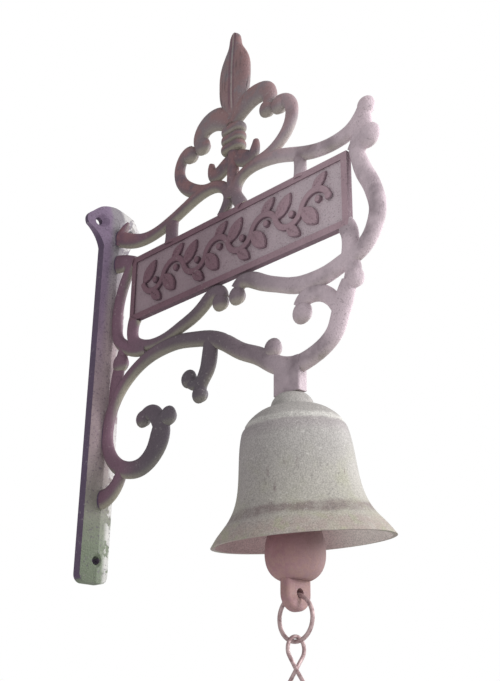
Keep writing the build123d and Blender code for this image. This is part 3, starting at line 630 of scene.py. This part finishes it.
class BellPaints(PropertyGroup):
    """Colours of every finish."""

    bar_front: colour("Bar fronts", "Dark plum paint on the bars' fronts", 104, 88, 98)
    bar_purple: colour("Wall-end bars", "Purple paint of the bars by the plate", 122, 84, 104)
    # Painted shade where the bars face up or to the wall
    bar_turned_shade: colour("Bar backs", "Near-black purple where bars face up or to the wall", 66, 52, 66)
    # Darker charcoal on the twig and the curl
    bar_low_dark: colour("Lower bars", "Charcoal of the twig and the curl", 76, 74, 82)
    # Painted light on the bars' sides
    bar_side_light: colour("Bar sides", "Grey between the bars", 118, 108, 112)
    # Painted light where the bars face down
    bar_under_light: colour("Bar undersides", "Olive grey where bars face down", 156, 150, 132)
    # Painted shade on the bars' tops
    bar_top_shade: colour("Bar tops", "Dark dusty tops", 100, 92, 96)
    rust: colour("Rust", "Red-brown paint on the petals", 150, 106, 104)
    # Painted light paling the bars towards the outer end
    far_end_light: colour("Bleached paint", "Paint bleached at the outer end", 214, 196, 204)
    field: colour("Panel field", "Sunk field near the wall", 150, 130, 138)
    # Painted light on the field at the outer end
    field_far_lit: colour("Panel field far end", "Sunk field at the outer end", 206, 190, 197)
    relief: colour("Panel relief", "Rim and vine near the wall", 116, 84, 96)
    # Painted light on the rim and the vine at the outer end
    relief_far_lit: colour("Panel relief far end", "Rim and vine at the outer end", 178, 150, 160)
    # Painted shade on the edges of the rim and the vine
    relief_edge_shade: colour("Relief edges", "Edges of the rim and the vine", 84, 64, 76)
    finial: colour("Finial", "Dusty paint on the finial", 156, 144, 146)
    plate_low: colour("Plate foot", "Green-grey paint low on the plate", 112, 121, 102)
    plate_middle: colour("Plate middle", "Mauve-grey paint half way up the plate", 150, 132, 136)
    plate_high: colour("Plate head", "Grey paint high on the plate", 132, 126, 132)
    # Painted shade on the plate's left slope
    plate_left_shade: colour("Plate left", "Purple paint on the plate's left slope", 122, 98, 130)
    # Charcoal flecks, and painted shade on the plate's side faces
    plate_fleck_and_side_shade: colour("Plate side", "Charcoal edge of the plate", 84, 66, 92)
    flake: colour("Flakes", "Pale flaked paint", 206, 204, 202)
    dark_fleck: colour("Dark flecks", "Dark flecks in the paint", 48, 40, 46)
    light_fleck: colour("Light flecks", "Light flecks in the paint", 190, 184, 180)
    bell_top: colour("Bell top", "Upper part of the bell", 164, 160, 157)
    bell_low: colour("Bell flare", "Flare of the bell", 168, 164, 156)
    # Painted highlight on the shoulder's ridge
    bell_ridge: colour("Bell ridge", "Worn pale ridge at the shoulder", 214, 212, 206)
    bell_shadow: colour("Bell shadow", "Mauve-grey under the ridge and on the left side", 146, 136, 140)
    bell_mould: colour("Bell dull patches", "Dull yellow-grey patches", 158, 158, 134)
    bell_band: colour("Bell band", "Worn band above the lip, and drips", 118, 102, 102)
    bell_lip: colour("Bell lip", "Reddish lip", 160, 144, 138)
    bell_inside: colour("Bell inside", "Mauve inside of the bell", 172, 144, 144)
    # Painted light on the right-hand side of the bell's inside
    bell_inside_lit: colour("Bell inside, outer side", "Paler inside on the outer side", 222, 212, 206)
    bell_dark: colour("Bell dark flecks", "Dark flecks on the bell", 108, 102, 102)
    bell_light: colour("Bell light flecks", "Light flecks on the bell", 206, 204, 200)
    clapper: colour("Clapper", "Brown-red clapper", 158, 118, 124)
    # Painted light on the clapper's right-hand side
    clapper_lit_side: colour("Clapper, outer side", "Greyer iron on the clapper's outer side", 158, 136, 134)
    clapper_stain: colour("Clapper stains", "Darker stains on the clapper", 144, 106, 110)
    clapper_rust: colour("Clapper rust", "Tan rust on the clapper's foot and tab", 164, 132, 124)
    wire: colour("Wire", "Mauve-grey wire", 186, 162, 162)
    wire_tarnish: colour("Wire tarnish", "Brown tarnish on the wire", 144, 116, 118)
    bolt: colour("Bolt steel", "Grey of bolt, washer and nut", 132, 126, 126)


class BellStudio(PropertyGroup):
    """Camera and light."""

    camera_place: point("Camera", "Place of the camera", 0.568516, -0.402039, -0.248491)
    camera_turn: FloatVectorProperty(
        name="Camera turn",
        description="Rotation of the camera",
        default=(radians(112.57), radians(-0.409), radians(45.064)),
        size=3,
        subtype="EULER",
    )
    focal_length: FloatProperty(
        name="Focal length",
        description="Focal length in millimetres over a 36 mm image height",
        default=52.468,
        unit="CAMERA",
    )
    centre_x: FloatProperty(
        name="Centre X", description="Optical centre, from the left edge", default=257.77, subtype="PIXEL"
    )
    centre_y: FloatProperty(
        name="Centre Y", description="Optical centre, from the top edge", default=337.56, subtype="PIXEL"
    )
    floor_height: length("Floor", "Height of the floor", -1300)
    floor_reach: length("Floor reach", "Half the floor's width", 6000)
    sky: factor("Sky light", "Strength of the even light from all sides", 0.55)
    target: point("Target", "Where the lamps point", 0.15, 0.0, 0.0)
    key: power("Key light", "Power of the large lamp on the outer side", 15.5)
    key_place: point("Key place", "Place of the key lamp", 1.36, 0.27, 0.35)
    key_size: length("Key size", "Width of the key lamp", 800)
    fill: power("Fill light", "Power of the low front lamp", 1.6)
    fill_place: point("Fill place", "Place of the fill lamp", 0.2, -1.0, -0.5)
    fill_size: length("Fill size", "Width of the fill lamp", 800)
    rim: power("Rim light", "Power of the lamp behind the bell", 9.0)
    rim_place: point("Rim place", "Place of the rim lamp", 0.5, 1.2, 0.15)
    rim_size: length("Rim size", "Width of the rim lamp", 500)


# Stage


def add_lamp(studio, key):
    """A square area lamp that points at the target, set by the studio's settings under its key."""
    lamp = bpy.data.lights.new(f"{key}_lamp", "AREA")
    lamp.energy = getattr(studio, key)
    lamp.shape = "SQUARE"
    lamp.size = getattr(studio, f"{key}_size")
    thing = bpy.data.objects.new(lamp.name, lamp)
    bpy.context.scene.collection.objects.link(thing)
    thing.location = getattr(studio, f"{key}_place")
    thing.rotation_euler = (Vector(studio.target) - thing.location).to_track_quat("-Z", "Y").to_euler()


def add_camera(studio):
    """The camera fitted to the photograph."""
    camera = bpy.data.cameras.new("photo_camera")
    camera.sensor_width = SENSOR_MM
    camera.lens = studio.focal_length
    camera.shift_x = (IMAGE_WIDTH / 2 - studio.centre_x) / IMAGE_HEIGHT
    camera.shift_y = (studio.centre_y - IMAGE_HEIGHT / 2) / IMAGE_HEIGHT
    camera.clip_start = 0.01
    camera.clip_end = 50
    thing = bpy.data.objects.new("photo_camera", camera)
    thing.location = studio.camera_place
    thing.rotation_euler = studio.camera_turn
    bpy.context.scene.collection.objects.link(thing)
    bpy.context.scene.camera = thing


def set_world(strength):
    """White to the camera, and a softer even light on the object."""
    world = bpy.data.worlds.new("studio_white")
    bpy.context.scene.world = world
    world.use_nodes = True
    tree = world.node_tree
    tree.nodes.clear()
    seen = tree.nodes.new("ShaderNodeBackground")
    lit = tree.nodes.new("ShaderNodeBackground")
    for node, level in ((seen, 1.0), (lit, strength)):
        node.inputs["Color"].default_value = WHITE
        node.inputs["Strength"].default_value = level
    path = tree.nodes.new("ShaderNodeLightPath")
    blend = tree.nodes.new("ShaderNodeMixShader")
    output = tree.nodes.new("ShaderNodeOutputWorld")
    tree.links.new(path.outputs["Is Camera Ray"], blend.inputs[0])
    tree.links.new(lit.outputs[0], blend.inputs[1])
    tree.links.new(seen.outputs[0], blend.inputs[2])
    tree.links.new(blend.outputs[0], output.inputs["Surface"])


def set_floor(height, reach):
    """A wide pale floor well below the hanging chain."""
    corners = [(x * reach, y * reach, height) for x, y in ((-1, -1), (1, -1), (1, 1), (-1, 1))]
    mesh = bpy.data.meshes.new("floor")
    mesh.from_pydata(corners, [], [(0, 1, 2, 3)])
    finish = Finish("pale_floor")
    mesh.materials.append(finish.close((0.9, 0.9, 0.9), 0.9, 0.0, finish.bump(finish.noise(30.0), 0.2)))
    floor = bpy.data.objects.new("floor", mesh)
    bpy.context.scene.collection.objects.link(floor)


# Operators


def paint(nodes, material):
    """Gives CAD nodes one material; a node that isn't in the frame raises a KeyError."""
    for name in nodes:
        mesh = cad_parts[name].data
        mesh.materials.clear()
        mesh.materials.append(material)


class WALLBELL_OT_bracket(Operator):
    """Paint the bracket"""

    bl_idname = "wallbell.bracket"
    bl_label = "Bracket finish"

    def execute(self, context):
        scene = context.scene
        paint(["bracket"], paint_bracket(scene.bell_sizes, scene.bell_paints))
        return {"FINISHED"}


class WALLBELL_OT_vine(Operator):
    """Model the vine on both faces of the sign panel, in the bracket's finish"""

    bl_idname = "wallbell.vine"
    bl_label = "Vine"

    def execute(self, context):
        model_vine(context.scene.bell_sizes, bpy.data.materials["worn_bracket_iron"])
        return {"FINISHED"}


class WALLBELL_OT_bell(Operator):
    """Paint the bell"""

    bl_idname = "wallbell.bell"
    bl_label = "Bell finish"

    def execute(self, context):
        scene = context.scene
        paint(["bell"], paint_bell(scene.bell_sizes, scene.bell_paints))
        return {"FINISHED"}


class WALLBELL_OT_clapper(Operator):
    """Paint the clapper"""

    bl_idname = "wallbell.clapper"
    bl_label = "Clapper finish"

    def execute(self, context):
        scene = context.scene
        paint(["clapper"], paint_clapper(scene.bell_sizes, scene.bell_paints))
        return {"FINISHED"}


class WALLBELL_OT_chain(Operator):
    """Paint the shackle, ring, links and pull ring"""

    bl_idname = "wallbell.chain"
    bl_label = "Chain finish"

    def execute(self, context):
        links = [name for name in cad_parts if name.startswith("chain_link")]
        paint([*links, "clapper_shackle", "clapper_ring", "pull_ring"], paint_wire(context.scene.bell_paints))
        return {"FINISHED"}


class WALLBELL_OT_bolt(Operator):
    """Paint the eye bolt, washer and nut"""

    bl_idname = "wallbell.bolt"
    bl_label = "Bolt finish"

    def execute(self, context):
        paint(["eye_bolt", "bell_washer", "bell_nut"], paint_bolt(context.scene.bell_paints))
        return {"FINISHED"}


class WALLBELL_OT_stage(Operator):
    """Set the floor, the light and the camera"""

    bl_idname = "wallbell.stage"
    bl_label = "Stage"

    def execute(self, context):
        studio = context.scene.bell_studio
        context.scene.view_settings.view_transform = "Standard"
        set_floor(studio.floor_height, studio.floor_reach)
        set_world(studio.sky)
        for key in ("key", "fill", "rim"):
            add_lamp(studio, key)
        add_camera(studio)
        return {"FINISHED"}


STEPS = (
    WALLBELL_OT_bracket,
    WALLBELL_OT_vine,
    WALLBELL_OT_bell,
    WALLBELL_OT_clapper,
    WALLBELL_OT_chain,
    WALLBELL_OT_bolt,
    WALLBELL_OT_stage,
)


class WALLBELL_PT_sidebar(Panel):
    """Lists the steps in order"""

    bl_label = "Wall Bell"
    bl_idname = "WALLBELL_PT_sidebar"
    bl_space_type = "VIEW_3D"
    bl_region_type = "UI"
    bl_category = "Wall Bell"

    def draw(self, context):
        for step in STEPS:
            self.layout.operator(step.bl_idname)


GROUPS = {"bell_sizes": BellSizes, "bell_paints": BellPaints, "bell_studio": BellStudio}


def register():
    """Adds the settings, the operators and the sidebar."""
    for item in (*GROUPS.values(), *STEPS, WALLBELL_PT_sidebar):
        bpy.utils.register_class(item)
    for name, group in GROUPS.items():
        setattr(bpy.types.Scene, name, PointerProperty(type=group))


def unregister():
    """Takes them away again."""
    for name in GROUPS:
        delattr(bpy.types.Scene, name)
    for item in (WALLBELL_PT_sidebar, *reversed(STEPS), *reversed(GROUPS.values())):
        bpy.utils.unregister_class(item)


def main():
    """Runs every step in order."""
    register()
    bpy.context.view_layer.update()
    bpy.ops.wallbell.bracket()
    bpy.ops.wallbell.vine()
    bpy.ops.wallbell.bell()
    bpy.ops.wallbell.clapper()
    bpy.ops.wallbell.chain()
    bpy.ops.wallbell.bolt()
    bpy.ops.wallbell.stage()


if __name__ == "__main__":
    main()
